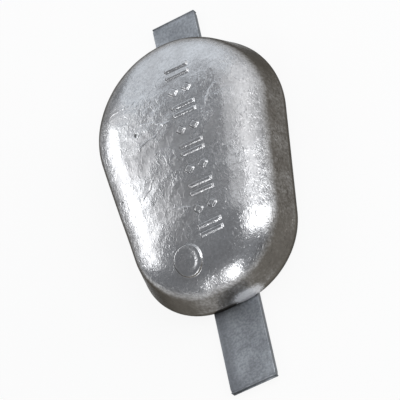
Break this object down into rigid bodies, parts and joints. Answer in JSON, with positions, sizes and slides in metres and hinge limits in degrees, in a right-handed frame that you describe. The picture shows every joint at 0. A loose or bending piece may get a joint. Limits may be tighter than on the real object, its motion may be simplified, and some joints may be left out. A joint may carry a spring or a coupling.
{
  "type": "sacrificial anode",
  "caption": "Weld-on hull anode: a domed, egg-shaped casting with plain raised marks on its front, and a flat steel bar through its back that stands out at both ends as weld tabs.",
  "frame": {"origin": "middle of the whole part on its hull side, at the middle of the steel bar's length", "axes": "+Z away from the hull, +Y along the bar towards the casting's wide end, +X across"},
  "size_m": [0.123, 0.2594, 0.042],
  "materials": {
    "casting": "bright as-cast zinc, finely wrinkled",
    "steel_bar": "dull galvanised"
  },
  "bodies": {
    "root": {"casting": "casting", "steel_bar": "steel_bar"}
  },
  "joints": []
}
